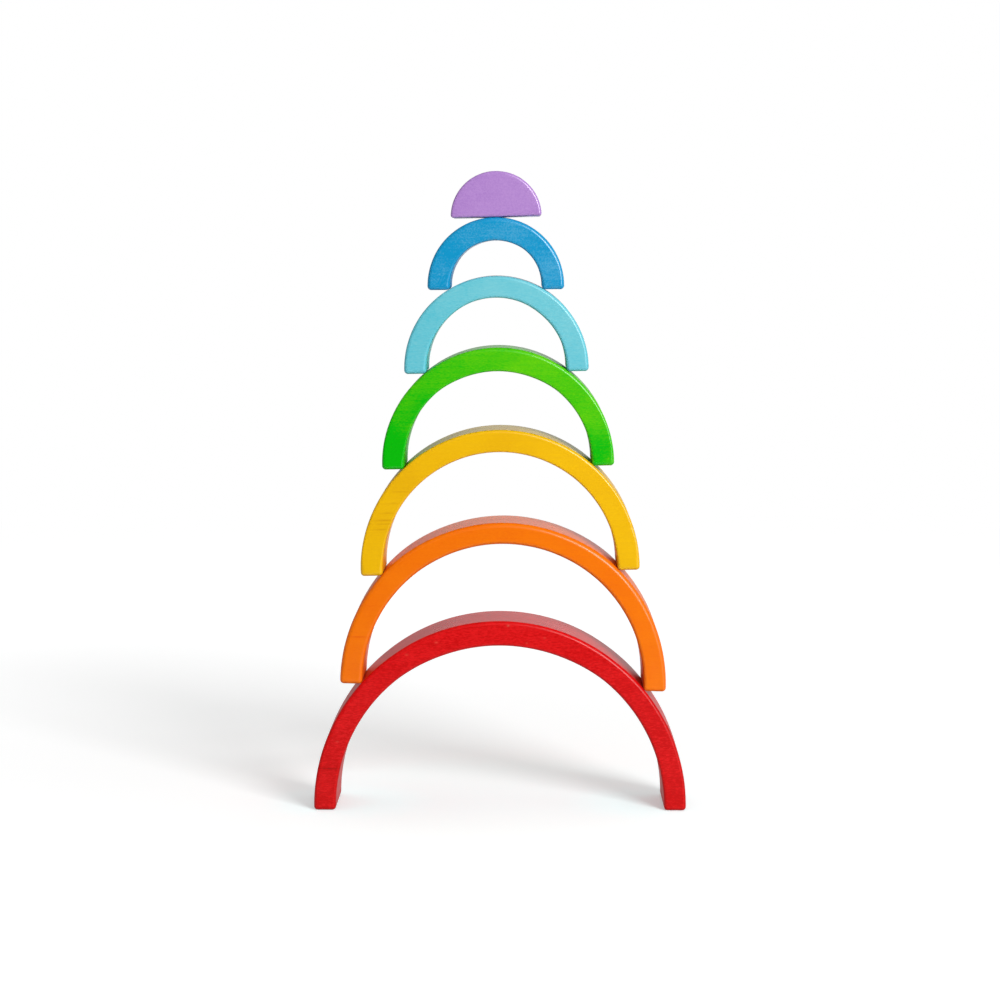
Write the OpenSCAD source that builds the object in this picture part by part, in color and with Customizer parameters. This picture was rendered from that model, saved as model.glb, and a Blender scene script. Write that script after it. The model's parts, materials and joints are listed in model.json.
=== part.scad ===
// Rainbow stacker: a wooden rainbow of six half-ring arches and a half disc, stood up as a tower.
// Each arch stands astride the crown of the next larger one, and the half disc tops the smallest.
// Millimetres, +Z up, front along -Y. The origin lies on the table, midway between the red feet.

/* [Rainbow] */
// Width of the largest arch, across its feet
rainbow_width = 180; // [160:1:240]
// Depth of every piece, front to back
piece_depth = 40; // [20:1:60]
// Thickness of each arch, from its inner curve to its outer one
band = 10.7; // [8:0.1:12]
// Gap between an arch and the next smaller one when the rainbow is put back together
nest_gap = 0.8; // [0.4:0.1:2]
// The same gap round the half disc, which is sanded less
disc_gap = 0.2; // [0.1:0.1:2]
// Radius of the sanded edges
edge_r = 1.8; // [0.8:0.1:2.4]

/* [Tower] */
// Clearance left where a piece rests on the one below
seat_gap = 0.1; // [0.05:0.05:0.4]
// Lean of the orange arch on the red one, in degrees towards +X
orange_lean = 1.4; // [-4:0.1:4]
// Lean of the yellow arch, measured from upright
yellow_lean = -1.4; // [-4:0.1:4]
// Lean of the green arch, measured from upright
green_lean = -1.1; // [-4:0.1:4]
// Lean of the light blue arch, measured from upright
light_blue_lean = -1; // [-4:0.1:4]
// Lean of the blue arch, measured from upright
blue_lean = -0.4; // [-4:0.1:4]
// Lean of the violet half disc, measured from upright
violet_lean = -1.4; // [-4:0.1:4]
// Shift of the half disc along its base, off the middle of the blue crown
violet_shift = 1; // [-4:0.1:4]

/* [Hidden] */
$fn = 96;

// Pieces from the largest inwards, and the lean of each
RAINBOW = ["red", "orange", "yellow", "green", "light blue", "blue", "violet"];
LEANS = [0, orange_lean, yellow_lean, green_lean, light_blue_lean, blue_lean, violet_lean];

// Place of a colour in the rainbow, counted inwards. The innermost is the half disc.
function place_of(colour) = [for (place = [0 : len(RAINBOW) - 1]) if (RAINBOW[place] == colour) place][0];
function is_disc(place) = place == len(RAINBOW) - 1;

// Radii of the curved faces of a place in the rainbow
function outer_r(place) =
    is_disc(place) ? inner_r(place - 1) - disc_gap : rainbow_width / 2 - place * (band + nest_gap);
function inner_r(place) = outer_r(place) - band;

// Unit vectors of a leaning piece in the XZ plane: up through its crown, and along its base
function up_of(place) = [sin(LEANS[place]), cos(LEANS[place])];
function along_of(place) = [cos(LEANS[place]), -sin(LEANS[place])];

// Rise from the ring centre below to this one. The rounded inner edge of an arch's foot, of radius
// edge_r, touches the crown below, so the three centres make a right-angled triangle. The half
// disc lies on that crown with its flat base.
function rise(place) =
    is_disc(place)
        ? outer_r(place - 1) + seat_gap
        : sqrt(pow(outer_r(place - 1) + edge_r + seat_gap, 2) - pow(inner_r(place) + edge_r, 2));

// Shift of a piece along its own base
function shift(place) = is_disc(place) ? violet_shift : 0;

// Ring centre of a piece in the XZ plane. It lies one edge radius above the soles of an arch, and
// in the base of the half disc.
function ring_centre(place) =
    place == 0
        ? [0, edge_r]
        : ring_centre(place - 1) + rise(place) * up_of(place) + shift(place) * along_of(place);

// Takes a piece from its own frame, with the ring centre at the origin, to its seat in the tower
module seated(place) {
    centre = ring_centre(place);
    translate([centre.x, 0, centre.y]) rotate([0, LEANS[place], 0]) children();
}

// Rectangle from x0 to x1, as deep as the pieces, with its corners rounded to the edge radius.
// An arch has all four round; the half disc meets its own axis, so there the rectangle is square.
module sanded_section(x0, x1, round_start = true) {
    start = round_start ? x0 + edge_r : x0;
    flat_length = x1 - edge_r - start;
    flat_depth = piece_depth - 2 * edge_r;
    translate([start, -piece_depth / 2]) square([flat_length, piece_depth]);
    translate([x0, -flat_depth / 2]) square([x1 - x0, flat_depth]);
    for (x = round_start ? [start, x1 - edge_r] : [x1 - edge_r], side = [-1, 1])
        translate([x, side * flat_depth / 2]) circle(r = edge_r);
}

// Half ring above its own centre: the section turned half way round the Y axis
module half_ring(r0, r1) {
    rotate([90, 0, 0]) rotate_extrude(angle = 180) sanded_section(r0, r1, round_start = r0 > 0);
}

// Sole below the ring centre, from x0 to x1, with its four bottom edges and its corners rounded
module sole(x0, x1) {
    xs = [x0 + edge_r, x1 - edge_r];
    ys = [-piece_depth / 2 + edge_r, piece_depth / 2 - edge_r];
    flat_length = xs[1] - xs[0];
    flat_depth = ys[1] - ys[0];
    intersection() {
        translate([x0, -piece_depth / 2, -edge_r]) cube([x1 - x0, piece_depth, edge_r]);
        union() {
            translate([xs[0], ys[0], -edge_r]) cube([flat_length, flat_depth, 2 * edge_r]);
            for (x = xs)
                translate([x, ys[0], 0]) rotate([-90, 0, 0]) cylinder(r = edge_r, h = flat_depth);
            for (y = ys)
                translate([xs[0], y, 0]) rotate([0, 90, 0]) cylinder(r = edge_r, h = flat_length);
            for (x = xs, y = ys)
                translate([x, y, 0]) sphere(r = edge_r);
        }
    }
}

// Arch for one place in the rainbow: a half ring on two soles
module arch(place) {
    half_ring(inner_r(place), outer_r(place));
    sole(inner_r(place), outer_r(place));
    sole(-outer_r(place), -inner_r(place));
}

// Rectangle standing on the X axis, with its two bottom corners rounded to the edge radius
module round_bottom(width, height) {
    flat_width = width - 2 * edge_r;
    translate([-flat_width / 2, 0]) square([flat_width, height]);
    translate([-width / 2, edge_r]) square([width, height - edge_r]);
    for (side = [-1, 1])
        translate([side * flat_width / 2, edge_r]) circle(r = edge_r);
}

// Half disc for the heart of the rainbow: solid to its centre, sawn along its diameter, with the
// edges of that base rounded too. The two bars that round them reach above the crown.
module half_disc(place) {
    width = 2 * outer_r(place);
    intersection() {
        half_ring(0, outer_r(place));
        rotate([90, 0, 0]) linear_extrude(2 * piece_depth, center = true) round_bottom(width, width);
        rotate([90, 0, 90]) linear_extrude(2 * width, center = true) round_bottom(piece_depth, width);
    }
}

// An arch, or the half disc, of one colour at its seat in the tower
module stacked_arch(colour) {
    seated(place_of(colour)) arch(place_of(colour));
}

module stacked_disc(colour) {
    seated(place_of(colour)) half_disc(place_of(colour));
}

module red_arch() { color("#d5141a") stacked_arch("red"); }
module orange_arch() { color("#f57a08") stacked_arch("orange"); }
module yellow_arch() { color("#f2bb0a") stacked_arch("yellow"); }
module green_arch() { color("#4fc410") stacked_arch("green"); }
module light_blue_arch() { color("#74cbd8") stacked_arch("light blue"); }
module blue_arch() { color("#1f9ccb") stacked_arch("blue"); }
module violet_half_disc() { color("#b58ad0") stacked_disc("violet"); }

red_arch();
orange_arch();
yellow_arch();
green_arch();
light_blue_arch();
blue_arch();
violet_half_disc();
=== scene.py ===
# %% [markdown]
# # A wooden rainbow, stood up as a tower
#
# The toy is seven pieces of solid wood: six half rings that nest inside each other, and a half disc for
# the heart. Here they stand as a tower, each arch astride the crown of the next larger one. The pieces are
# sawn, sanded round on every edge, stained and lacquered. There is nothing else on them, so the likeness
# has to come from three things: how the edges roll over, how the wood takes the stain, and how the lacquer
# shines.
#
# The solid model comes first. It fixes where every piece is and how it moves, and nothing below moves or
# resizes it. Its box is kept, and its height gives the middle of the tower that the lamps face.

# %% Load the solid model
import json
import math

import bmesh
import bpy
import numpy as np
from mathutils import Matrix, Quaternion, Vector


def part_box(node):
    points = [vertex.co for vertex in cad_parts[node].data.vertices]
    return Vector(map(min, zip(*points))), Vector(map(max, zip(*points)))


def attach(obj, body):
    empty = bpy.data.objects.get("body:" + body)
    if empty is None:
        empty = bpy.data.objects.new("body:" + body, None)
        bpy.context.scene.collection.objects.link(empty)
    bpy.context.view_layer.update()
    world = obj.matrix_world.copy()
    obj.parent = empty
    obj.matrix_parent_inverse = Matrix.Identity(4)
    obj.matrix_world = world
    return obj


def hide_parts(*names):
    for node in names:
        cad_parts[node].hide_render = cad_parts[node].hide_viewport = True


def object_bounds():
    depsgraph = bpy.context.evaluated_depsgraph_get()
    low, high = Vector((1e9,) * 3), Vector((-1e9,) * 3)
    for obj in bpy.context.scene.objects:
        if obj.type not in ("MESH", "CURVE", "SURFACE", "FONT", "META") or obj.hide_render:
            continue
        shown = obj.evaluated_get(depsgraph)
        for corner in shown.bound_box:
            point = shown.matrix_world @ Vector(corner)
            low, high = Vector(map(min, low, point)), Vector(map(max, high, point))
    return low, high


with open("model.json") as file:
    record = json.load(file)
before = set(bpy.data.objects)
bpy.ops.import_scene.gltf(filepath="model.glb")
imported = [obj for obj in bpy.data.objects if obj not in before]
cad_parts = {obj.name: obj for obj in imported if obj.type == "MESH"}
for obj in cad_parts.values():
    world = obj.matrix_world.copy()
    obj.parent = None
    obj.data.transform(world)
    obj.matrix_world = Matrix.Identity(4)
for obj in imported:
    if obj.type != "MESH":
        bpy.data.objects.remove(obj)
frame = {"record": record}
cad_box = [list(corner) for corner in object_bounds()]
bodies = frame["record"]["behaviour"]["bodies"]
print("solid model, in metres:", cad_box)

# %% [markdown]
# ## The sizes that everything follows
#
# A maker of such a rainbow saws concentric half circles out of one thick board, so three sizes give all
# the radii: the width of the largest arch, the band that is left between two cuts, and the gap that the saw
# and the sander leave. The width and the depth are read from the solid model. The rest are written here
# once, and each piece is one row of a list, from the largest inwards.
#
# The edges aren't all alike. Each piece was held against a sander by hand, so one arch is rolled over more
# than the next, and its crown more or less than its legs. `leg_round` and `crown_round` are the radii of
# its outer edges there, and `inner_round` is that of its inner ones. `sawn` is how far the two cuts strayed
# at the crown: first the outer one, then the inner one, outwards. All of these are in millimetres, and
# `lean` is in degrees.

# %% Sizes of the rainbow
MM = 0.001
BAND = 10.7 * MM
NEST_GAP = 0.8 * MM
DISC_GAP = 0.2 * MM
SEAT_GAP = 0.1 * MM
EDGE = 1.8 * MM

RAINBOW = [
    dict(body="red", lean=0.0, leg_round=1.5, crown_round=1.9, inner_round=1.5, sawn=(0.4, -0.8)),
    dict(body="orange", lean=1.4, leg_round=2.1, crown_round=2.4, inner_round=1.8, sawn=(-0.6, -0.1)),
    dict(body="yellow", lean=-1.4, leg_round=1.1, crown_round=1.6, inner_round=1.1, sawn=(0.0, 0.0)),
    dict(body="green", lean=-1.1, leg_round=1.1, crown_round=2.0, inner_round=1.1, sawn=(0.0, -0.6)),
    dict(body="light_blue", lean=-1.0, leg_round=1.6, crown_round=1.5, inner_round=1.4, sawn=(0.0, 0.4)),
    dict(body="blue", lean=-0.4, leg_round=1.6, crown_round=2.1, inner_round=1.2, sawn=(0.0, -0.3)),
    dict(body="violet", lean=-1.4, crown_round=1.3),
]
HEART_SHIFT = 1.0 * MM

lowest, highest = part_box("red_arch")
WIDTH = highest.x - lowest.x
DEPTH = highest.y - lowest.y
print(f"largest arch {WIDTH / MM:.2f} mm wide, every piece {DEPTH / MM:.2f} mm deep")

# %% [markdown]
# ## Where each piece sits
#
# A piece is drawn in its own frame, with the centre of its circles at the origin, and then leant and lifted
# to its place. An arch rests on the rounded inner edge of its feet. That edge and the crown below it are
# two circles that touch, so the two ring centres and the edge's centre make a right-angled triangle, and
# the rise is its third side. The half disc lies with its flat base on the smallest crown, a little off the
# middle. Typing seven heights would be shorter, but they would all be wrong as soon as one size changed.

# %% Stack the pieces
HEART = len(RAINBOW) - 1

for place, piece in enumerate(RAINBOW):
    piece["node"] = bodies[piece["body"]][0]
    piece["outer"] = WIDTH / 2 - place * (BAND + NEST_GAP)
    if place == HEART:
        piece["outer"] = RAINBOW[place - 1]["inner"] - DISC_GAP
    piece["inner"] = piece["outer"] - BAND
    lean = math.radians(piece["lean"])
    if place == 0:
        piece["centre"] = np.array([0.0, 0.0, EDGE])
    else:
        below = RAINBOW[place - 1]
        rise = below["outer"] + SEAT_GAP
        shift = HEART_SHIFT
        if place < HEART:
            rise = math.sqrt((below["outer"] + EDGE + SEAT_GAP) ** 2 - (piece["inner"] + EDGE) ** 2)
            shift = 0.0
        up = np.array([math.sin(lean), 0.0, math.cos(lean)])
        along = np.array([math.cos(lean), 0.0, -math.sin(lean)])
        piece["centre"] = below["centre"] + rise * up + shift * along
    print(f"{piece['node']}: outer radius {piece['outer'] / MM:.2f} mm, centre", piece["centre"] / MM)

# %% [markdown]
# ## The camera
#
# The picture was taken from well back with a long lens, at the height of the blue arch, looking down by
# about five degrees. That keeps the arches almost free of perspective while the larger crowns still show.
# These numbers came from matching the outlines of all seven pieces, and the lens is for a square picture.

# %% Camera
CAMERA_PLACE = (12.0 * MM, -1274.1 * MM, 268.95 * MM)
CAMERA_TILT_DOWN = 5.38
CAMERA_TURN_LEFT = 0.545
LENS_MM = 94.86
SENSOR_MM = 36.0

camera_data = bpy.data.cameras.new("camera")
camera_data.lens = LENS_MM
camera_data.sensor_width = SENSOR_MM
camera = bpy.data.objects.new("camera", camera_data)
camera.location = CAMERA_PLACE
camera.rotation_euler = (math.radians(90 - CAMERA_TILT_DOWN), 0, math.radians(CAMERA_TURN_LEFT))
bpy.context.scene.collection.objects.link(camera)
bpy.context.scene.camera = camera
print("camera", round(-CAMERA_PLACE[1], 2), "m away, lens", LENS_MM, "mm")

# %% [markdown]
# ## One way to make every piece: an outline carried along a path
#
# An arch is a rounded rectangle carried round half a circle. The half disc is a rounded half circle carried
# straight from back to front. So one function can make both. A bevelled curve or a Bevel modifier would
# give even, machine-like edges with long thin faces; working the surface out point by point gives a clean
# grid, and lets the roundness change along the way.
#
# The trick for the edges is to keep two things apart: a *skeleton*, which is the outline shrunk by the
# edge's radius, and the *outward normal* at each of its points. A point of the surface is the skeleton plus
# the radius times the normal. At a corner the skeleton stands still while the normal swings round. At the
# two ends of the path the same thing happens the other way: the section stands still while the normal dips
# backwards through a quarter turn, and then the skeleton shrinks to one point, which closes the end.

# %% Carry an outline along a path
ROLL_STEPS = 8
FILL_STEPS = 9
EDGE_WIDENING = 1.8


def with_closed_ends(path):
    """Stations for a path whose ends are rolled over and closed: (where on the path, spread, dip).

    At the start the section spreads from its middle to its full size, facing backwards (dip a quarter
    turn), and the dip then goes to nothing. The end is the same in reverse.
    """
    fill = np.linspace(0, 1, FILL_STEPS + 1)[1:]
    roll = np.linspace(np.pi / 2, 0, ROLL_STEPS + 1)[1:-1]
    ends = len(fill) + len(roll)
    where = np.concatenate([np.full(ends, path[0]), path, np.full(ends, path[-1])])
    full = np.ones(len(roll) + len(path) + len(roll))
    spread = np.concatenate([fill, full, fill[::-1]])
    start_dip = np.concatenate([np.full(len(fill), np.pi / 2), roll])
    dip = np.concatenate([start_dip, np.zeros(len(path)), -start_dip[::-1]])
    return where, spread, dip


def carried_surface(skeleton, radius, normal, origin, side, depth, spread, dip):
    """Points and normals of an outline carried along a path, as arrays of (station, outline point, xyz).

    point = origin + spread * skeleton + radius * N, where N = cos(dip) * normal - sin(dip) * forward.
    skeleton and normal have two numbers per point, along the station's side and depth directions, and
    forward is side x depth.
    """
    forward = np.cross(side, depth)
    across = normal[:, 0, None] * side[:, None, :] + normal[:, 1, None] * depth[:, None, :]
    facing = np.cos(dip)[:, None, None] * across - (np.sin(dip)[:, None] * forward)[:, None, :]
    flat = skeleton[..., 0, None] * side[:, None, :] + skeleton[..., 1, None] * depth[:, None, :]
    points = origin[:, None, :] + spread[:, None, None] * flat + radius[..., None] * facing
    return points, facing


def edge_share(swings, dip):
    """How much of each point is rounded edge, 0 to 1.

    swings is that of the outline, 0 on a side and 1 half way round a corner, and a dip half way to a right
    angle counts as much. The widening lets the share reach 1 well before half way.
    """
    rolled = np.maximum(swings[None, :] * np.cos(dip)[:, None], np.abs(np.sin(2 * dip))[:, None])
    return np.minimum(1.0, EDGE_WIDENING * rolled)


def closed_tube_faces(stations, columns):
    """Faces of a grid that is closed round its columns and ends in one point before the first station and
    one after the last. They are numbered after the grid's own points, and every face is wound to face
    outwards."""
    here = np.arange(stations * columns).reshape(stations, columns)
    following = np.roll(here, -1, axis=1)
    quads = np.stack([here[:-1], following[:-1], following[1:], here[1:]], axis=-1).reshape(-1, 4)
    start = np.full(columns, stations * columns)
    start_fan = np.stack([start, following[0], here[0]], axis=-1)
    end_fan = np.stack([start + 1, here[-1], following[-1]], axis=-1)
    return quads.tolist() + start_fan.tolist() + end_fan.tolist()


print("a rolled edge has", ROLL_STEPS, "steps and an end is filled in", FILL_STEPS)

# %% [markdown]
# ## The sander's hand
#
# No hand-sanded face is truly flat. Under a lamp the reflection in it wavers a little, and that is most of
# what tells wood from moulded plastic. A few seeded sine waves through space give that: they only ever take
# wood away, a twenty-fifth of a millimetre at most, so the piece never grows out of its solid. Play adds
# small dents, most of them along the edges, each one a soft round hollow.

# %% Hand-sanded hollows and dents
SANDING_DEPTH = 0.04 * MM
SANDING_WAVES = 20
WAVE_LENGTHS = (9 * MM, 45 * MM)
DENT_DEPTHS = (0.06 * MM, 0.18 * MM)
DENT_SIZES = (0.5 * MM, 1.1 * MM)


def sanding_hollows(points, generator):
    """Wood taken off at each point, from 0 to SANDING_DEPTH: the squashed mean of sine waves through space,
    each with its own direction, length and start."""
    directions = generator.normal(size=(SANDING_WAVES, 3))
    directions /= np.linalg.norm(directions, axis=1, keepdims=True)
    lengths = generator.uniform(*WAVE_LENGTHS, SANDING_WAVES)
    starts = generator.uniform(0, 2 * np.pi, SANDING_WAVES)
    waves = np.sin(points @ (2 * np.pi * directions / lengths[:, None]).T + starts)
    return SANDING_DEPTH * (0.5 + 0.5 * np.tanh(waves.mean(axis=-1) * math.sqrt(SANDING_WAVES)))


def dents(points, middles, generator):
    """Wood pressed in at each point: round hollows, each depth * exp(-(distance / size) ** 2)."""
    pressed = np.zeros(points.shape[:-1])
    for middle in middles:
        depth = generator.uniform(*DENT_DEPTHS)
        size = generator.uniform(*DENT_SIZES)
        distance = np.linalg.norm(points - middle, axis=-1)
        pressed += depth * np.exp(-((distance / size) ** 2))
    return pressed


print("sanding takes off up to", SANDING_DEPTH / MM, "mm")

# %% [markdown]
# ## The arch's section
#
# The section of an arch is a rectangle as deep as the piece and as wide as its band, with four rounded
# corners that can each have their own radius. Every point of the outline belongs to one corner, or lies on
# a side and is shared by two. Those shares are the weights below. Because a point is a weighted sum of
# corners, a corner's radius may change from station to station and the sides follow by themselves.

# %% Section of an arch
CORNER_SIGNS = np.array([[1, 1], [-1, 1], [-1, -1], [1, -1]])
BAND_STEPS = 12
DEPTH_STEPS = 44


def cosine_spaced(count):
    """Numbers between 0 and 1, without either, closer together near both."""
    return 0.5 - 0.5 * np.cos(np.linspace(0, np.pi, count + 2)[1:-1])


def section_outline():
    """Outline of the section, counter-clockwise from the outer back corner: each point's weight on the four
    corners, its outward normal, and how far round an edge it is, 0 on a side and 1 in the middle of a
    corner."""
    quarter = np.linspace(0, 1, ROLL_STEPS + 1)
    weights, angles, rounds = [], [], []
    for corner, steps in enumerate((BAND_STEPS, DEPTH_STEPS, BAND_STEPS, DEPTH_STEPS)):
        share = cosine_spaced(steps)
        weight = np.zeros((len(quarter) + steps, len(CORNER_SIGNS)))
        weight[: len(quarter), corner] = 1
        weight[len(quarter) :, corner] = 1 - share
        weight[len(quarter) :, (corner + 1) % len(CORNER_SIGNS)] = share
        weights.append(weight)
        angles.append((corner + np.concatenate([quarter, np.ones(steps)])) * np.pi / 2)
        rounds.append(np.concatenate([np.sin(np.pi * quarter), np.zeros(steps)]))
    angle = np.concatenate(angles)
    normal = np.stack([np.cos(angle), np.sin(angle)], axis=-1)
    return np.concatenate(weights), normal, np.concatenate(rounds)


section_weight, section_normal, section_edge = section_outline()
print("the section has", len(section_normal), "points")

# %% [markdown]
# ## An arch
#
# Half a turn round the ring's centre gives the arch. Its feet are its two ends, so they are rolled over
# like the other edges. Along the arch the sanded radius wavers by a tenth, and near the feet it goes to the
# radius of the solid model, because that is where the arch seats on the crown below. A saw that is led by
# hand doesn't keep to its circle either: above the seats of the next arch, where nothing has to fit, each
# cut may run a little outside or inside of it.

# %% Surface of an arch
GRID = 0.8 * MM
FOOT_BLEND = 9 * MM
ROUND_WAVER = 0.10
WAVER_TURNS = (3, 5, 8)
CROWN_FROM = 0.75


def smooth_step(value):
    """0 below 0, 1 above 1, and an even S between."""
    value = np.clip(value, 0, 1)
    return value * value * (3 - 2 * value)


def sanded_corners(piece, angle, away_from_foot, generator):
    """Radius of the section's four corners at each station: the seat's radius at the feet, and away from
    them the sanded one, times a slow waver of sines of the angle. The outer one goes from leg to crown with
    the square of the angle's sine."""
    starts = generator.uniform(0, 2 * np.pi, (len(WAVER_TURNS), len(CORNER_SIGNS)))
    turns = np.array(WAVER_TURNS)[:, None, None]
    waver = 1 + ROUND_WAVER * np.sin(turns * angle[:, None] + starts[:, None, :]).mean(axis=0)
    leg_round = piece["leg_round"] * MM
    crown_round = piece["crown_round"] * MM
    outer_round = leg_round + (crown_round - leg_round) * np.sin(angle) ** 2
    inner_round = np.full_like(angle, piece["inner_round"] * MM)
    sanded = np.stack([outer_round, inner_round, inner_round, outer_round], axis=-1)
    return EDGE + (sanded * waver - EDGE) * smooth_step(away_from_foot / FOOT_BLEND)[:, None]


def arch_surface(piece, generator):
    """Points, normals, edge share and share of the sanding of an arch in its own frame.

    The ring's middle line is a circle in the XZ plane: at angle a its point is r * (cos a, 0, sin a), side
    points away from the centre and depth to the back. Near the crown, r and the band change by how far the
    cuts strayed. The soles aren't sanded down, because they have to stand.
    """
    steps = int(np.pi * (piece["outer"] + piece["inner"]) / 2 / GRID)
    angle, spread, dip = with_closed_ends(np.linspace(0, np.pi, steps))
    crown = smooth_step((np.sin(angle) - CROWN_FROM) / (1 - CROWN_FROM))
    outer = piece["outer"] + piece["sawn"][0] * MM * crown
    inner = piece["inner"] + piece["sawn"][1] * MM * crown
    middle = (outer + inner) / 2
    side = np.stack([np.cos(angle), np.zeros_like(angle), np.sin(angle)], axis=-1)
    depth = np.tile([0.0, 1.0, 0.0], (len(angle), 1))

    away_from_foot = np.minimum(angle, np.pi - angle) * middle
    corner_radius = sanded_corners(piece, angle, away_from_foot, generator)
    half = np.stack([(outer - inner) / 2, np.full_like(angle, DEPTH / 2)], axis=-1)
    corners = CORNER_SIGNS * (half[:, None, :] - corner_radius[..., None])
    skeleton = np.einsum("uk,vkc->vuc", section_weight, corners)
    radius = np.einsum("uk,vk->vu", section_weight, corner_radius)
    origin = middle[:, None] * side
    points, facing = carried_surface(skeleton, radius, section_normal, origin, side, depth, spread, dip)
    sanding_share = np.cos(dip)[:, None] ** 2
    return points, facing, edge_share(section_edge, dip), sanding_share


print("the arches have a grid of about", GRID / MM, "mm")

# %% [markdown]
# ## The half disc
#
# The heart of the rainbow is what is left inside the smallest arch: a half disc, sawn flat along its
# diameter. Its outline is a half circle and a chord, with the two sharp ends rounded. This time the path is
# straight, so the rolled-over ends are the edges of the front and the back face, and the faces themselves
# close the ends.

# %% Surface of the half disc
HEART_HEIGHT_SHARE = 0.42
STRAIGHT_DOWN = 1.5 * np.pi


def half_disc_outline(outer, edge):
    """Skeleton, outward normal and edge share round a half disc, counter-clockwise from the right-hand
    corner.

    The skeleton is an arc of radius outer - edge that ends one edge above the base, and the chord between
    its ends. The normal follows the arc, swings down at the left corner, is straight down on the base, and
    swings up again at the right corner.
    """
    arc_radius = outer - edge
    rest = math.asin(edge / arc_radius)
    arc = np.linspace(rest, np.pi - rest, int(np.pi * outer / GRID))
    swing = np.linspace(0, 1, ROLL_STEPS + 3)[1:-1]
    left = np.pi - rest + swing * (np.pi / 2 + rest)
    base = np.full(int(2 * outer / GRID), STRAIGHT_DOWN)
    right = STRAIGHT_DOWN + swing * (np.pi / 2 + rest)
    angle = np.concatenate([arc, left, base, right])
    reach = arc_radius * math.cos(rest)
    across = np.linspace(-reach, reach, len(base))
    chord = np.concatenate([np.full(len(left), -reach), across, np.full(len(right), reach)])
    x = np.concatenate([arc_radius * np.cos(arc), chord])
    z = np.concatenate([arc_radius * np.sin(arc), np.full(len(chord), edge)])
    rounded = np.sin(np.pi * swing)
    swings = np.concatenate([np.zeros(len(arc)), rounded, np.zeros(len(base)), rounded])
    return np.stack([x, z], axis=-1), np.stack([np.cos(angle), np.sin(angle)], axis=-1), swings


def half_disc_surface(piece):
    """Points, normals, edge share and share of the sanding of the half disc in its own frame: its outline,
    measured from a point inside it, carried in a straight line from the back to the front. The base isn't
    sanded down, because it has to lie."""
    edge_radius = piece["crown_round"] * MM
    skeleton, normal, swings = half_disc_outline(piece["outer"], edge_radius)
    inside = np.array([0.0, HEART_HEIGHT_SHARE * piece["outer"]])
    reach = DEPTH / 2 - edge_radius
    back_to_front, spread, dip = with_closed_ends(np.linspace(reach, -reach, int(DEPTH / GRID)))
    count = len(back_to_front)
    origin = np.stack([np.zeros(count), back_to_front, np.full(count, inside[1])], axis=-1)
    side = np.tile([1.0, 0.0, 0.0], (count, 1))
    up = np.tile([0.0, 0.0, 1.0], (count, 1))
    radius = np.full((1, len(normal)), edge_radius)
    shrunk = (skeleton - inside)[None]
    points, facing = carried_surface(shrunk, radius, normal, origin, side, up, spread, dip)
    sanding_share = 1 - np.clip(-facing[..., 2], 0, 1) ** 2
    return points, facing, edge_share(swings, dip), sanding_share


print("the half disc is", round(2 * RAINBOW[HEART]["outer"] / MM, 2), "mm wide")

# %% [markdown]
# ## From numbers to meshes
#
# The grid's points become a mesh with smooth shading all over, because the rolled edges are part of the
# grid. On its flat ends all the points of a corner coincide, and faces without area between them would
# spoil the shading, so such points are merged. How much of each point is edge goes along as an attribute,
# which the lacquer reads further down.

# %% Put a piece in the scene
EDGE_ATTRIBUTE = "rounded_edge"
MERGE_DISTANCE = 0.001 * MM


def put_in_scene(name, points, edge):
    """A smooth mesh object of the grid's points, with a closing point in the middle of each end."""
    stations, columns = edge.shape
    middles = [points[0].mean(axis=0), points[-1].mean(axis=0)]
    vertices = np.concatenate([points.reshape(-1, 3), middles])
    mesh = bpy.data.meshes.new(name)
    mesh.from_pydata(vertices.tolist(), [], closed_tube_faces(stations, columns))
    mesh.polygons.foreach_set("use_smooth", np.ones(len(mesh.polygons), dtype=bool))
    attribute = mesh.attributes.new(EDGE_ATTRIBUTE, "FLOAT", "POINT")
    attribute.data.foreach_set("value", np.concatenate([edge.ravel(), [0, 0]]).astype(np.float32))
    merged = bmesh.new()
    merged.from_mesh(mesh)
    bmesh.ops.remove_doubles(merged, verts=merged.verts, dist=MERGE_DISTANCE)
    merged.to_mesh(mesh)
    merged.free()
    made = bpy.data.objects.new(name, mesh)
    bpy.context.scene.collection.objects.link(made)
    return made


def to_tower(points, piece):
    """Own frame to tower: turned by the lean about Y, then moved to the ring centre."""
    lean = math.radians(piece["lean"])
    turn = np.array(
        [[math.cos(lean), 0, math.sin(lean)], [0, 1, 0], [-math.sin(lean), 0, math.cos(lean)]]
    )
    return points @ turn.T + piece["centre"]


print("points closer than", MERGE_DISTANCE / MM, "mm are merged")

# %% [markdown]
# ## Seven pieces of wood
#
# Now each piece is worked out, sanded, dented, leant and put at its place. It rides on the body of its
# solid and stands for it, so it moves as the solid does. Each piece has its own seed, so a change to one
# leaves the dents of the others where they are.

# %% Make the pieces
DENT_SEED = 41
DENTS_PER_MM = 0.03
ON_EDGE = 0.6

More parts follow.
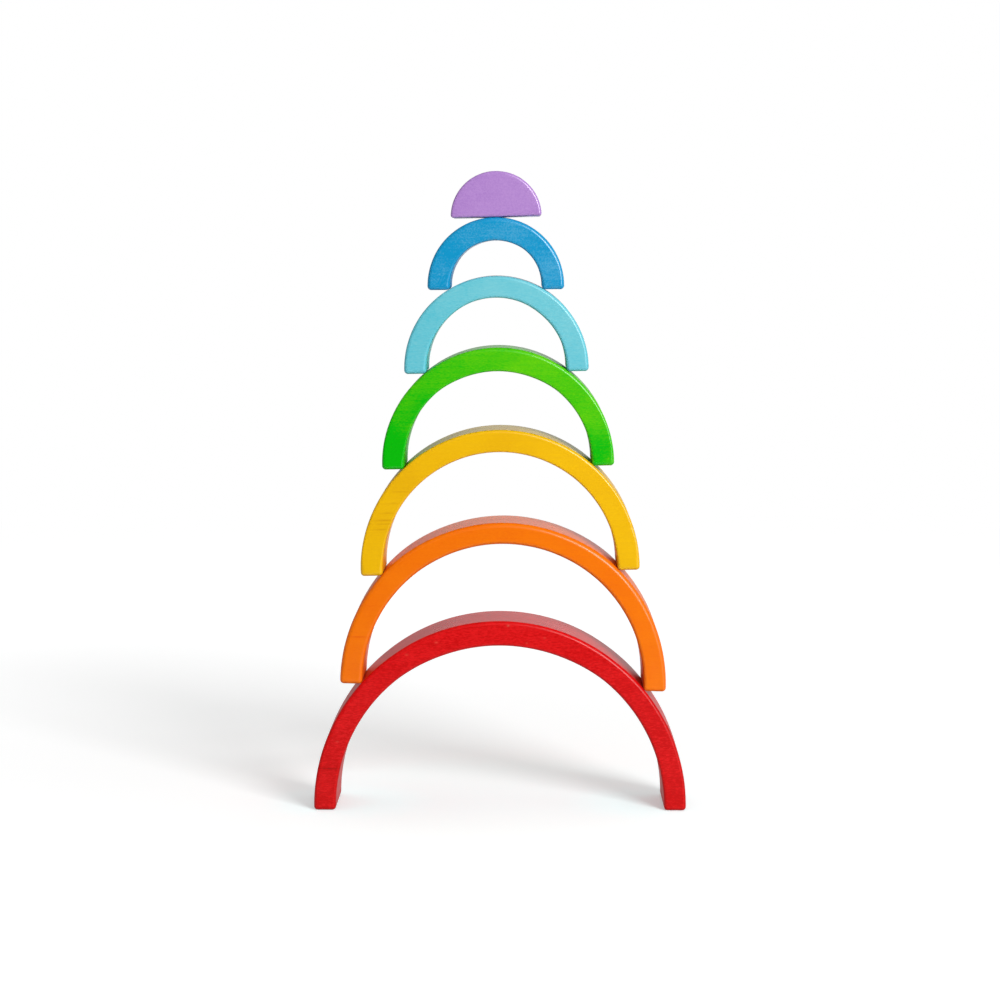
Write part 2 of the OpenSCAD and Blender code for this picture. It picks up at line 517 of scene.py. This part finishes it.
for place, piece in enumerate(RAINBOW):
    generator = np.random.default_rng(DENT_SEED + place)
    if place == HEART:
        points, facing, edge, sanding_share = half_disc_surface(piece)
    else:
        points, facing, edge, sanding_share = arch_surface(piece, generator)
    on_edge = np.argwhere(edge > ON_EDGE)
    dent_count = int(DENTS_PER_MM * np.pi * piece["outer"] / MM)
    chosen = on_edge[generator.integers(0, len(on_edge), dent_count)]
    taken_off = sanding_hollows(points, generator)
    taken_off += dents(points, points[chosen[:, 0], chosen[:, 1]], generator)
    points = points - (taken_off * sanding_share)[..., None] * facing
    piece["object"] = put_in_scene("wooden_" + piece["node"], to_tower(points, piece), edge)
    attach(piece["object"], piece["body"])
    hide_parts(piece["node"])

    solid_low, solid_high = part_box(piece["node"])
    corners = np.array([corner[:] for corner in piece["object"].bound_box])
    below_by = np.abs(corners.min(axis=0) - solid_low).max()
    above_by = np.abs(corners.max(axis=0) - solid_high).max()
    faces = len(piece["object"].data.polygons)
    off = max(below_by, above_by) / MM
    print(f"{piece['object'].name}: {faces} faces, {off:.3f} mm off its solid's box")

# %% [markdown]
# ## Stained wood
#
# The pieces are pale, close-grained hardwood, coloured with a thin water stain, so the grain still shows,
# and sealed with satin lacquer. The board's grain runs across the rainbow, from foot to foot: on a leg it
# shows as fine level lines, and along the crown it follows the arch. Each effect is one texture in the
# piece's own frame: the stain is taken up unevenly in soft blotches, each year of growth leaves a thin
# darker line, the fibres are fine streaks, short flecks are the wood's rays, and the ends of the fibres
# drink more stain.
#
# All of them add to one number, the uptake, which moves the colour between a pale and a deep tone of the
# same stain. That is closer to a real stain than darkening a colour with grey, and because the textures go
# through the solid, front, end and back fit together. Building nodes by script is wordy, so a few short
# helpers come first.

# %% Helpers for shader nodes
def add_node(tree, kind, sockets=None, **settings):
    """A new node of that kind. A socket takes a plain value, or another node's output to link."""
    node = tree.nodes.new(kind)
    for name, value in settings.items():
        setattr(node, name, value)
    for key, value in (sockets or {}).items():
        if isinstance(value, bpy.types.NodeSocket):
            tree.links.new(value, node.inputs[key])
        else:
            node.inputs[key].default_value = value
    return node


def math_node(tree, operation, *values, clamp=False):
    """The output of a Math node with those inputs."""
    sockets = dict(enumerate(values))
    return add_node(tree, "ShaderNodeMath", sockets, operation=operation, use_clamp=clamp).outputs[0]


def vector_node(tree, operation, *values, output="Vector"):
    """An output of a Vector Math node with those inputs."""
    sockets = dict(enumerate(values))
    return add_node(tree, "ShaderNodeVectorMath", sockets, operation=operation).outputs[output]


def mixed_colour(tree, share, first, second, **settings):
    """The first colour where share is 0 and the second where it is 1. A Mix node has sockets for numbers,
    vectors and colours; 0 is its factor, 6 and 7 are its colours, and output 2 is the mixed one."""
    sockets = {0: share, 6: first, 7: second}
    return add_node(tree, "ShaderNodeMix", sockets, data_type="RGBA", **settings).outputs[2]


def scaled(tree, vector, place=(0, 0, 0), scale=(1, 1, 1)):
    """A vector moved and then measured in cells: scale is cells per metre along each direction."""
    return vector_node(tree, "MULTIPLY", vector_node(tree, "ADD", vector, place), scale)


def linear(red, green, blue):
    """A colour as a screen shows it, 0 to 255, as the linear colour that a shader takes."""
    share = np.array([red, green, blue]) / 255
    return tuple(np.where(share <= 0.04045, share / 12.92, ((share + 0.055) / 1.055) ** 2.4)) + (1.0,)


print("shader helpers ready")

# %% [markdown]
# ## Seven stains
#
# Each stain is a row: its pale and its deep tone, the uptake it starts from, how strongly the grain shows
# in it, and its slope of uptake, which is painted light and shade: it changes the uptake from the middle to
# the right foot and to the crown, so the piece is paler towards the lamp on the right and towards the top.
# `lacquer` is the refractive index of the coat on it: a thin coat soaks in and shines less. Green took less
# stain at the ends of its fibres, and the wood of the two smallest pieces has an even grain without long
# streaks.

# %% Stains
STAINS = {
    "red": dict(
        pale=linear(227, 22, 25), deep=linear(201, 0, 2), uptake=0.50, grain=1.6,
        painted_light_slope=(0.0, -0.34), lacquer=1.27,
    ),
    "orange": dict(
        pale=linear(250, 126, 0), deep=linear(243, 110, 0), uptake=0.50, grain=0.6,
        painted_light_slope=(0.0, 0.0), lacquer=1.33,
    ),
    "yellow": dict(
        pale=linear(246, 192, 0), deep=linear(235, 178, 0), uptake=0.50, grain=0.5,
        painted_light_slope=(-0.10, 0.0), lacquer=1.39,
    ),
    "green": dict(
        pale=linear(108, 210, 0), deep=linear(0, 187, 0), uptake=0.54, grain=0.5,
        painted_light_slope=(-0.28, -0.75), lacquer=1.37, end_grain=-0.5,
    ),
    "light_blue": dict(
        pale=linear(124, 205, 216), deep=linear(90, 193, 210), uptake=0.46, grain=0.7,
        painted_light_slope=(-0.25, -0.10), lacquer=1.36,
    ),
    "blue": dict(
        pale=linear(92, 176, 216), deep=linear(0, 149, 201), uptake=0.88, grain=0.8,
        painted_light_slope=(-0.05, 0.0), lacquer=1.43, even=True,
    ),
    "violet": dict(
        pale=linear(185, 142, 210), deep=linear(171, 126, 201), uptake=0.50, grain=1.2,
        painted_light_slope=(0.0, 0.0), lacquer=1.52, even=True,
    ),
}
for colour, stain in STAINS.items():
    print(colour, "pale", np.round(stain["pale"][:3], 3), "deep", np.round(stain["deep"][:3], 3))

# %% [markdown]
# ## Marks of this very rainbow
#
# A dark growth line crosses the red left leg and a finer one the orange left leg, a patch of streaks lies
# half way up the yellow one, and a few pale flecks on the red front show where the stain didn't take. Each
# is one row: its place in the piece's own frame, half its length along the grain and half its thickness,
# all in millimetres, and its strength. For a dark mark that is the stain it took on top, and for a fleck it
# is the share of bare wood that shows. A mark runs through the wood from front to back, as real grain does.

# %% Marks in the wood
MARKS = {
    "red": [(-82.7, 18.6, 6.0, 0.55, 1.2)],
    "orange": [(-69.9, 21.2, 4.0, 0.40, 1.2)],
    "yellow": [
        (-56.5, 20.6, 3.5, 0.40, 1.2),
        (-54.9, 23.2, 4.5, 0.40, 1.0),
        (-54.5, 25.0, 5.0, 0.45, 1.5),
        (-53.0, 28.4, 4.0, 0.40, 1.2),
        (-50.5, 33.0, 4.0, 0.40, 0.8),
        (-47.0, 38.5, 4.0, 0.40, 0.8),
    ],
}
BARE_FLECKS = {
    "red": [
        (-30.6, 80.2, 0.8, 0.45, 0.08),
        (-44.8, 74.2, 0.8, 0.50, 0.06),
        (-78.5, 31.8, 0.8, 0.45, 0.05),
        (21.5, 82.5, 0.6, 0.45, 0.06),
        (12.9, 80.0, 0.6, 0.45, 0.06),
        (4.0, 88.4, 0.6, 0.50, 0.16),
    ],
}
BARE_WOOD = (0.80, 0.55, 0.36, 1.0)


def mark(tree, own, x, z, half_length, half_thickness):
    """A soft spot drawn out along the grain: exp(-d * d), d being the distance from its middle in half
    sizes."""
    scale = (1 / (half_length * MM), 0.0, 1 / (half_thickness * MM))
    away = scaled(tree, own, place=(-x * MM, 0.0, -z * MM), scale=scale)
    distance = vector_node(tree, "LENGTH", away, output="Value")
    squared = math_node(tree, "POWER", distance, 2.0)
    return math_node(tree, "EXPONENT", math_node(tree, "MULTIPLY", squared, -1.0))


print(sum(len(marks) for marks in MARKS.values()), "dark marks")
print(sum(len(flecks) for flecks in BARE_FLECKS.values()), "bare flecks")

# %% [markdown]
# ## The textures themselves
#
# Growth rings are cut from a tree whose pith lies some way outside the piece, so on the front face they
# show as level lines that bend a little, and across the ends of the fibres as arcs. A slow noise pushes all
# the grain up and down, so no line is ruler straight. Noise with cells that are long along X gives fibres
# and streaks; a Voronoi texture has one point per cell, which gives flecks and specks.

# %% Textures of the wood
RING_SPACING = 2.6 * MM
RING_SHARPNESS = 4.0
WAVE_TEXTURE_FACTOR = 20
FIBRE_CELLS = (110, 1500, 1500)
MOTTLE_CELLS = (650, 2100, 2100)
EVEN_MOTTLE_CELLS = (1400, 1600, 1600)
FLECK_CELLS = (240, 1200, 1200)
SPECK_CELLS = (150, 150, 150)
BLOTCH_CELLS = (45, 70, 70)
LACQUER_CELLS = (420, 420, 420)
WAVY_CELLS = (22, 30, 30)
WAVY_REACH = 1.2 * MM
NOISE_MEAN = 0.5


def noise(tree, vector, place, cells, detail=2.0, roughness=0.5):
    """Cloudy noise, about NOISE_MEAN, with so many cells per metre along each direction."""
    where = scaled(tree, vector, place, cells)
    sockets = {"Vector": where, "Scale": 1.0, "Detail": detail, "Roughness": roughness}
    return add_node(tree, "ShaderNodeTexNoise", sockets).outputs["Fac"]


def wavy_grain(tree, own, place):
    """The piece's own frame with the grain pushed up and down by a slow noise."""
    push = math_node(tree, "SUBTRACT", noise(tree, own, place, WAVY_CELLS), NOISE_MEAN)
    push = math_node(tree, "MULTIPLY", push, 2 * WAVY_REACH)
    along_z = add_node(tree, "ShaderNodeCombineXYZ", {"Z": push}).outputs[0]
    return vector_node(tree, "ADD", own, along_z)


def growth_rings(tree, grain, pith):
    """A thin dark line for each year of growth: a saw-tooth wave of the distance from the pith, a line along
    the grain outside the piece, raised to a power so that only its crest counts. The Wave node multiplies
    its scale by a factor of its own, which is divided out."""
    wave = add_node(
        tree, "ShaderNodeTexWave",
        {
            "Vector": scaled(tree, grain, place=pith),
            "Scale": 2 * math.pi / (WAVE_TEXTURE_FACTOR * RING_SPACING),
            "Distortion": 1.5, "Detail": 2.0, "Detail Scale": 0.5, "Detail Roughness": 0.55,
        },
        wave_type="RINGS", rings_direction="X", wave_profile="SAW",
    )
    return math_node(tree, "POWER", wave.outputs["Fac"], RING_SHARPNESS)


def scattered(tree, vector, place, cells, size, share):
    """Small spots, one in the middle of that share of all cells. Cells longer along X make dashes of the
    spots."""
    sockets = {"Vector": scaled(tree, vector, place, cells), "Scale": 1.0, "Randomness": 1.0}
    texture = add_node(tree, "ShaderNodeTexVoronoi", sockets)
    spot = add_node(
        tree, "ShaderNodeMapRange",
        {"Value": texture.outputs["Distance"], "From Min": size, "From Max": 0.0},
        interpolation_type="SMOOTHSTEP",
    ).outputs["Result"]
    chance = add_node(tree, "ShaderNodeSeparateColor", {"Color": texture.outputs["Color"]}).outputs["Red"]
    return math_node(tree, "MULTIPLY", spot, math_node(tree, "LESS_THAN", chance, share))


print("growth rings every", RING_SPACING / MM, "mm")

# %% [markdown]
# ## Each piece from its own place in the board
#
# A Mapping node set to Texture turns the object's coordinates back into the piece's own frame, upright and
# with the ring's centre at the origin, so the grain leans with the piece. All textures of a piece start from
# a place in the board that is drawn by chance, and its pith too, so no two pieces have the same grain. The
# ends of the fibres show where the surface faces left or right, which the object's own normal tells.

# %% Wood of one piece
BOARD_PLACES = (0.2, 2.0)
PITH_BEHIND_MM = (20, 50)
PITH_ABOVE_MM = (60, 120)
FLECK_SIZE = 0.45
FLECK_CHANCE = 0.35
SPECK_SIZE = 0.10
SPECK_CHANCE = 0.30


def own_frame(tree, coordinates, piece):
    """The piece's own frame, from its Object coordinates."""
    sockets = {
        "Vector": coordinates["Object"],
        "Location": tuple(piece["centre"]),
        "Rotation": (0, math.radians(piece["lean"]), 0),
    }
    return add_node(tree, "ShaderNodeMapping", sockets, vector_type="TEXTURE").outputs["Vector"]


def wood_textures(tree, piece, stain, generator):
    """All the textures of one piece, by name. The slope of uptake is painted light and shade: a slope
    through space that reaches the stain's two slope values one radius to the right and one radius up, so the
    piece is paler towards the lamp on the right and the top."""
    coordinates = add_node(tree, "ShaderNodeTexCoord").outputs
    own = own_frame(tree, coordinates, piece)
    place = tuple(generator.uniform(*BOARD_PLACES, 3))
    pith = (0.0, generator.uniform(*PITH_BEHIND_MM) * MM, generator.uniform(*PITH_ABOVE_MM) * MM)
    grain = wavy_grain(tree, own, place)
    mottle_cells = EVEN_MOTTLE_CELLS if stain.get("even") else MOTTLE_CELLS
    # painted light and shade: the slope of uptake makes the piece paler towards the lamp on the right and
    # the top
    slope = (stain["painted_light_slope"][0] / piece["outer"], 0.0, stain["painted_light_slope"][1] / piece["outer"])
    facing_x = add_node(tree, "ShaderNodeSeparateXYZ", {0: coordinates["Normal"]}).outputs["X"]
    return dict(
        own=own,
        painted_light_slope=vector_node(tree, "DOT_PRODUCT", own, slope, output="Value"),
        fibres=noise(tree, grain, place, FIBRE_CELLS, detail=3.0, roughness=0.6),
        mottle=noise(tree, grain, place, mottle_cells, roughness=0.6),
        blotches=noise(tree, own, place, BLOTCH_CELLS, detail=3.0),
        rings=growth_rings(tree, grain, pith),
        flecks=scattered(tree, grain, place, FLECK_CELLS, FLECK_SIZE, FLECK_CHANCE),
        specks=scattered(tree, own, place, SPECK_CELLS, SPECK_SIZE, SPECK_CHANCE),
        end_grain=math_node(tree, "POWER", math_node(tree, "ABSOLUTE", facing_x), 2.0),
        lacquer=noise(tree, own, place, LACQUER_CELLS),
    )


print("fibres about", round(1 / (FIBRE_CELLS[0] * MM), 1), "mm long")

# %% [markdown]
# ## How much stain the wood took
#
# One function adds the textures up. Each row of its list is a texture, the value at which it changes
# nothing, and how much stain it adds; the first row is not stain but painted light and shade, the slope of
# uptake. The sum is kept between the pale and the deep tone; only the dark marks, which come after, may go
# deeper than that.

# %% Stain
CROWN_SHARE = 0.75
FIBRE_GAIN = 0.6
MOTTLE_GAIN = 2.1
BLOTCH_GAIN = 1.3
RING_MEAN = 0.2
RING_GAIN = 0.15
END_RING_GAIN = 0.6
FLECK_GAIN = 0.2
SPECK_GAIN = -0.6
END_GRAIN_GAIN = 0.40
DARKEST_MARK = 2.5


def stain_uptake(tree, wood, stain, marks):
    """How much stain the wood took, 0 for the pale tone and 1 for the deep one: the stain's own level plus
    the sum of (texture - neutral) * gain, kept between 0 and 1, plus the marks, up to DARKEST_MARK."""
    end_rings = math_node(tree, "MULTIPLY", wood["rings"], wood["end_grain"])
    effects = [
        # painted light and shade: paler towards the lamp on the right and the top, deeper on the left
        (wood["painted_light_slope"], CROWN_SHARE * stain["painted_light_slope"][1], 1.0),
        (wood["fibres"], NOISE_MEAN, FIBRE_GAIN * stain["grain"]),
        (wood["mottle"], NOISE_MEAN, MOTTLE_GAIN * stain["grain"]),
        (wood["blotches"], NOISE_MEAN, BLOTCH_GAIN),
        (wood["rings"], RING_MEAN, RING_GAIN),
        (end_rings, 0.0, END_RING_GAIN),
        (wood["flecks"], 0.0, FLECK_GAIN),
        (wood["specks"], 0.0, SPECK_GAIN),
        (wood["end_grain"], 0.0, stain.get("end_grain", END_GRAIN_GAIN)),
    ]
    uptake = stain["uptake"]
    for texture, neutral, gain in effects:
        uptake = math_node(tree, "MULTIPLY_ADD", math_node(tree, "SUBTRACT", texture, neutral), gain, uptake)
    uptake = math_node(tree, "ADD", uptake, 0.0, clamp=True)
    for *where, strength in marks:
        uptake = math_node(tree, "MULTIPLY_ADD", mark(tree, wood["own"], *where), strength, uptake)
    return math_node(tree, "MINIMUM", uptake, DARKEST_MARK)


def stain_colour(tree, wood, stain, marks, flecks):
    """The stain's pale and deep tones mixed by the uptake, with bare wood at the flecks."""
    uptake = stain_uptake(tree, wood, stain, marks)
    colour = mixed_colour(tree, uptake, stain["pale"], stain["deep"], clamp_factor=False, clamp_result=True)
    for *where, strength in flecks:
        bare = math_node(tree, "MULTIPLY", mark(tree, wood["own"], *where), strength)
        colour = mixed_colour(tree, bare, colour, BARE_WOOD)
    return colour


print("a dark mark takes up to", DARKEST_MARK, "times the deep tone's stain")

# %% [markdown]
# ## Satin lacquer
#
# The lacquer is thin and satin. It lies level apart from a very low ripple, in which the fibres show too.
# Where the fibres end, on the sides of the legs, it sinks in and dries more matt, and on the rolled edges,
# where it runs off, a little more matt as well. A second glossy layer would look like plastic, so one
# Principled shader does both wood and coat, and only its index of refraction differs from piece to piece.

# %% Stained and lacquered pieces
GRAIN_SEED = 7
BUMP_HEIGHT = 0.0015 * MM
FIBRE_RELIEF = 0.5
SATIN = 0.25
FIBRE_MATT = 0.08
END_GRAIN_MATT = 0.22
EDGE_MATT = 0.04


def satin_lacquer(tree, wood):
    """Roughness and normal of the lacquer: satin plus a share for the fibres, their ends and the edges, and
    a bump of the ripple plus FIBRE_RELIEF times the fibres."""
    edge = add_node(tree, "ShaderNodeAttribute", attribute_name=EDGE_ATTRIBUTE).outputs["Fac"]
    fibres = math_node(tree, "SUBTRACT", wood["fibres"], NOISE_MEAN)
    matt = SATIN
    for texture, gain in ((fibres, FIBRE_MATT), (wood["end_grain"], END_GRAIN_MATT), (edge, EDGE_MATT)):
        matt = math_node(tree, "MULTIPLY_ADD", texture, gain, matt)
    height = math_node(tree, "MULTIPLY_ADD", wood["fibres"], FIBRE_RELIEF, wood["lacquer"])
    bump = add_node(tree, "ShaderNodeBump", {"Height": height, "Distance": BUMP_HEIGHT, "Strength": 1.0})
    return matt, bump.outputs["Normal"]


def stained_wood(piece, stain, marks, flecks, generator):
    """Material of one piece: wood in two tones of its stain under satin lacquer."""
    material = bpy.data.materials.new("stained_" + piece["body"])
    material.use_nodes = True
    tree = material.node_tree
    shader = tree.nodes["Principled BSDF"]
    wood = wood_textures(tree, piece, stain, generator)
    matt, normal = satin_lacquer(tree, wood)
    tree.links.new(stain_colour(tree, wood, stain, marks, flecks), shader.inputs["Base Color"])
    tree.links.new(matt, shader.inputs["Roughness"])
    tree.links.new(normal, shader.inputs["Normal"])
    shader.inputs["IOR"].default_value = stain["lacquer"]
    return material


for place, piece in enumerate(RAINBOW):
    generator = np.random.default_rng(GRAIN_SEED + place)
    body = piece["body"]
    material = stained_wood(piece, STAINS[body], MARKS.get(body, []), BARE_FLECKS.get(body, []), generator)
    piece["object"].data.materials.append(material)
    print(material.name, len(material.node_tree.nodes), "nodes")

# %% [markdown]
# ## The white table
#
# The tower stands on a white sweep of paper that shows nothing but its shadow. One large flat face is
# enough for it, because far away it becomes pure white and so has no edge.

# %% Table
TABLE_FRONT = -0.42
TABLE_REACH = 4.0

table_mesh = bpy.data.meshes.new("white_table")
table_corners = [
    (-TABLE_REACH, TABLE_FRONT, 0.0), (TABLE_REACH, TABLE_FRONT, 0.0),
    (TABLE_REACH, TABLE_REACH, 0.0), (-TABLE_REACH, TABLE_REACH, 0.0),
]
table_mesh.from_pydata(table_corners, [], [(0, 1, 2, 3)])
table = bpy.data.objects.new("white_table", table_mesh)
bpy.context.scene.collection.objects.link(table)
print("white table from", TABLE_FRONT, "to", TABLE_REACH, "m")

# %% [markdown]
# ## White paper
#
# The paper is plain diffuse white. What the camera sees of it is topped up with a little glow, so that the
# lit paper is exactly white and the shadow stays; light that bounces from it onto the wood gets none of
# that, and less of the white, so the fronts keep their depth of colour. Red wood throws a red glow on white
# paper, which a photograph balanced for white hides. So the paper is a little cool, cooler under the arch,
# and coolest in a spot beside the inside of each foot.

# %% Paper
PAPER_WHITE = (0.865, 0.87, 0.87, 1.0)
PAPER_UNDER_ARCH = (0.82, 0.885, 0.885, 1.0)
PAPER_BY_FOOT = (0.78, 0.99, 0.99, 1.0)
PAPER_BOUNCE = (0.45, 0.45, 0.45, 1.0)
UNDER_ARCH = (0.08, 0.13)
BY_FOOT = (0.010, 0.048)
INSIDE_FOOT = 7.3 * MM
PAPER_GLOW = 0.28
FAR_GLOW = 0.22
NEAR_TO_FAR = (0.08, 0.75)
SHADOW_REACH = (0.80, 1.40)


def seen_directly(tree):
    """1 for rays that show the background as it looks: from the camera, a reflection, or through glass."""
    path = add_node(tree, "ShaderNodeLightPath").outputs
    seen = math_node(tree, "MAXIMUM", path["Is Camera Ray"], path["Is Glossy Ray"])
    return math_node(tree, "MAXIMUM", seen, path["Is Transmission Ray"])


def smooth_range(tree, value, low, high, to_low=0.0, to_high=1.0):
    """A smooth step from to_low, where the value is low, to to_high, where it is high."""
    sockets = {"Value": value, "From Min": low, "From Max": high, "To Min": to_low, "To Max": to_high}
    return add_node(tree, "ShaderNodeMapRange", sockets, interpolation_type="SMOOTHSTEP").outputs["Result"]


def paper_tint(tree, on_table, distance):
    """Colour of the paper as it is seen: three whites, by the distance from the tower's middle and from the
    nearer of the two spots beside the feet. The absolute place folds left on right, so one spot serves
    both."""
    tint = mixed_colour(tree, smooth_range(tree, distance, *UNDER_ARCH), PAPER_UNDER_ARCH, PAPER_WHITE)
    spot = (RAINBOW[0]["inner"] - INSIDE_FOOT, 0.0, 0.0)
    to_spot = vector_node(tree, "DISTANCE", vector_node(tree, "ABSOLUTE", on_table), spot, output="Value")
    return mixed_colour(tree, smooth_range(tree, to_spot, *BY_FOOT), PAPER_BY_FOOT, tint)


def white_paper():
    """Material of the paper: diffuse white and a glow that only shows directly, and far away plain white."""
    paper = bpy.data.materials.new("white_paper")
    paper.use_nodes = True
    tree = paper.node_tree
    tree.nodes.clear()
    on_table = add_node(tree, "ShaderNodeTexCoord").outputs["Object"]
    distance = vector_node(tree, "LENGTH", on_table, output="Value")
    seen = seen_directly(tree)
    tint = mixed_colour(tree, seen, PAPER_BOUNCE, paper_tint(tree, on_table, distance))
    diffuse = add_node(tree, "ShaderNodeBsdfDiffuse", {"Color": tint}).outputs[0]
    glow_level = smooth_range(tree, distance, *NEAR_TO_FAR, PAPER_GLOW, PAPER_GLOW + FAR_GLOW)
    glow_seen = math_node(tree, "MULTIPLY", seen, glow_level)
    glow = add_node(tree, "ShaderNodeEmission", {"Strength": glow_seen}).outputs[0]
    near_look = add_node(tree, "ShaderNodeAddShader", {0: diffuse, 1: glow}).outputs[0]
    white = add_node(tree, "ShaderNodeEmission", {"Strength": 1.0}).outputs[0]
    far_seen = math_node(tree, "MULTIPLY", smooth_range(tree, distance, *SHADOW_REACH), seen)
    look = add_node(tree, "ShaderNodeMixShader", {0: far_seen, 1: near_look, 2: white}).outputs[0]
    add_node(tree, "ShaderNodeOutputMaterial", {"Surface": look})
    return paper


table_mesh.materials.append(white_paper())
print("the shadow shows up to", SHADOW_REACH[1], "m from the tower")

# %% [markdown]
# ## Lamps
#
# One large softbox stands to the right of the camera and above it. It lights the fronts and gives the soft
# shadow that falls to the left. Beside it hangs a narrow strip light, leaning to the left, which only shows
# in reflections: it draws the long bright line along the right-hand edges. Lamp power is hard to guess in
# watts, so it is worked out from the level at which a white sheet facing the lamp should appear.

# %% Softbox and strip light
LAMP_DISTANCE = 1.5
SOFTBOX_DIRECTION = (0.49, -0.785, 0.378)
SOFTBOX_SIZE = 0.58
SOFTBOX_LEVEL = 0.89
STRIP_DIRECTION = (0.49, -0.815, 0.309)
STRIP_WIDTH = 0.26
STRIP_HEIGHT = 1.25
STRIP_LEAN = 28.0
STRIP_LEVEL = 0.80

tower_middle = np.array([0.0, 0.0, (cad_box[0][2] + cad_box[1][2]) / 2])


def panel_lamp(name, direction, width, height, lean, level):
    """A rectangular lamp that faces the tower's middle from that direction, its top leaning to the left. A
    white sheet there appears at the level when the power is level * pi**2 * distance**2."""
    lamp_data = bpy.data.lights.new(name, "AREA")
    lamp_data.shape = "RECTANGLE"
    lamp_data.size = width
    lamp_data.size_y = height
    lamp_data.energy = level * math.pi**2 * LAMP_DISTANCE**2
    lamp = bpy.data.objects.new(name, lamp_data)
    to_lamp = Vector(direction).normalized()
    lamp.location = Vector(tower_middle) + LAMP_DISTANCE * to_lamp
    upright = to_lamp.to_track_quat("Z", "Y")
    lamp.rotation_euler = (upright @ Quaternion((0, 0, 1), math.radians(lean))).to_euler()
    bpy.context.scene.collection.objects.link(lamp)
    return lamp


softbox = panel_lamp("softbox", SOFTBOX_DIRECTION, SOFTBOX_SIZE, SOFTBOX_SIZE, 0.0, SOFTBOX_LEVEL)
strip = panel_lamp("strip_light", STRIP_DIRECTION, STRIP_WIDTH, STRIP_HEIGHT, STRIP_LEAN, STRIP_LEVEL)
strip.visible_diffuse = False
print("softbox", round(softbox.data.energy, 1), "W, strip light", round(strip.data.energy, 1), "W")

# %% [markdown]
# ## The studio round it
#
# The world is set apart by kind of ray. Surfaces are lit by a dim grey room that grows brighter towards the
# ceiling, with a pale wall behind and to the left that fills in the back and the shaded side. The insides
# of the right-hand legs stay dark, as they should. The camera sees a white backdrop. A reflection sees that
# backdrop only low down behind the tower, brightest to the right, and the dark studio elsewhere, which
# keeps the front faces deep in colour and the tops of the crowns from going chalky.

# %% Studio
ROOM_LEVEL = 0.20
CEILING_LEVEL = 0.57
WALL_DIRECTION = (-0.45, 0.893, 0.0)
WALL_SIDE = (0.0, 0.90)
WALL_TOP = (0.15, 0.60)
WALL_LEVEL = 1.30
BACKDROP_DIRECTION = (0.406, 0.914, 0.0)
BACKDROP_SIDE = (0.60, 1.00)
BACKDROP_TOP = (0.06, 0.45)
STUDIO_DIM = 0.01
STUDIO_BRIGHT = 0.92
WHITE = (1.0, 1.0, 1.0, 1.0)


def low_wall(tree, direction, upwards, middle, side, top):
    """A soft patch of the world, 1 towards its middle: side is where the cosine of the angle to the middle
    starts to count and where it counts in full, and top is the height, as a sine, where it starts to fade
    and ends."""
    facing = vector_node(tree, "DOT_PRODUCT", direction, middle, output="Value")
    towards_it = smooth_range(tree, facing, *side)
    return math_node(tree, "MULTIPLY", towards_it, smooth_range(tree, upwards, *top, 1.0, 0.0))


def light_the_studio(tree):
    """Nodes of the world: the room and its wall for rays that light, the backdrop for rays that show."""
    tree.nodes.clear()
    direction = add_node(tree, "ShaderNodeTexCoord").outputs["Generated"]
    upwards = add_node(tree, "ShaderNodeSeparateXYZ", {0: direction}).outputs["Z"]
    wall = low_wall(tree, direction, upwards, WALL_DIRECTION, WALL_SIDE, WALL_TOP)
    room_level = smooth_range(tree, upwards, 0.0, 1.0, ROOM_LEVEL, CEILING_LEVEL)
    room_level = math_node(tree, "MULTIPLY_ADD", wall, WALL_LEVEL, room_level)
    backdrop = low_wall(tree, direction, upwards, BACKDROP_DIRECTION, BACKDROP_SIDE, BACKDROP_TOP)
    backdrop_level = math_node(tree, "MULTIPLY_ADD", backdrop, STUDIO_BRIGHT - STUDIO_DIM, STUDIO_DIM)
    camera_ray = add_node(tree, "ShaderNodeLightPath").outputs["Is Camera Ray"]
    seen_level = math_node(tree, "MAXIMUM", backdrop_level, camera_ray)
    lit = add_node(tree, "ShaderNodeBackground", {"Strength": room_level, "Color": WHITE}).outputs[0]
    shown = add_node(tree, "ShaderNodeBackground", {"Strength": seen_level, "Color": WHITE}).outputs[0]
    studio = add_node(tree, "ShaderNodeMixShader", {0: seen_directly(tree), 1: lit, 2: shown}).outputs[0]
    add_node(tree, "ShaderNodeOutputWorld", {"Surface": studio})


world = bpy.data.worlds.new("studio")
bpy.context.scene.world = world
world.use_nodes = True
light_the_studio(world.node_tree)
bpy.context.scene.view_settings.view_transform = "Standard"
print("room", ROOM_LEVEL, "to", CEILING_LEVEL, "at the ceiling")
